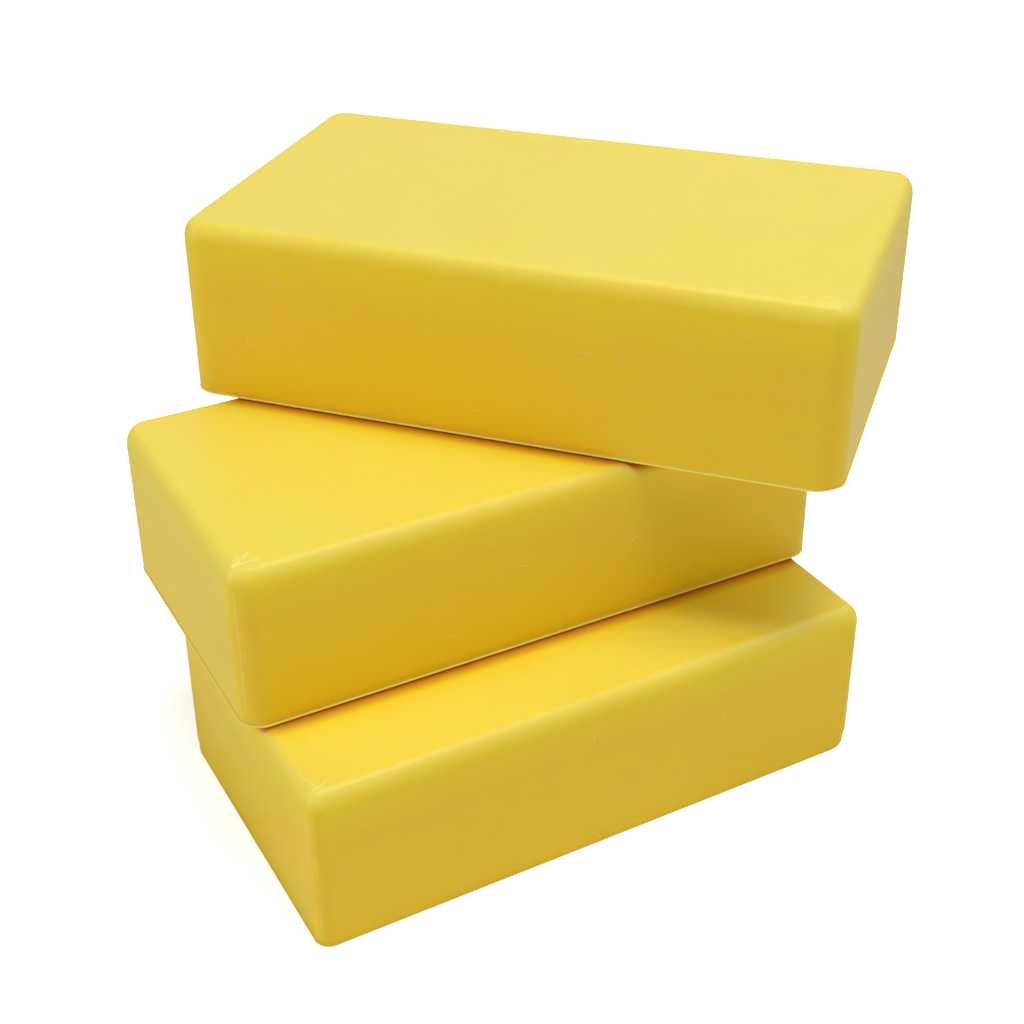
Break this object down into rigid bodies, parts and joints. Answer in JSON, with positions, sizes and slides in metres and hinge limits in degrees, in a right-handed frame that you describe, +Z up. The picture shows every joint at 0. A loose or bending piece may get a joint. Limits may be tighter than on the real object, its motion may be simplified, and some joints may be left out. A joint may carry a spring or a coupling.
{
  "type": "stack of cast beeswax blocks",
  "caption": "Stack of loose brick-shaped cast beeswax blocks for candle making, rounded on top, crisp at the foot, each turned on the one below.",
  "frame": {"origin": "middle of the stack's outline in plan, on the surface that the bottom block stands on", "axes": "+X along the bottom block's length, +Z up"},
  "size_m": [0.1872, 0.169, 0.1219],
  "materials": {
    "beeswax": "satin cast beeswax"
  },
  "bodies": {
    "bottom_block": {"bottom_block": "beeswax"},
    "middle_block": {"middle_block": "beeswax"},
    "top_block": {"top_block": "beeswax"}
  },
  "joints": [
    {"name": "middle_block_lift", "type": "slide", "parent": "bottom_block", "child": "middle_block", "axis": [0, 0, 1], "range_m": [0, 0.1]},
    {"name": "top_block_lift", "type": "slide", "parent": "middle_block", "child": "top_block", "axis": [0, 0, 1], "range_m": [0, 0.1]}
  ]
}
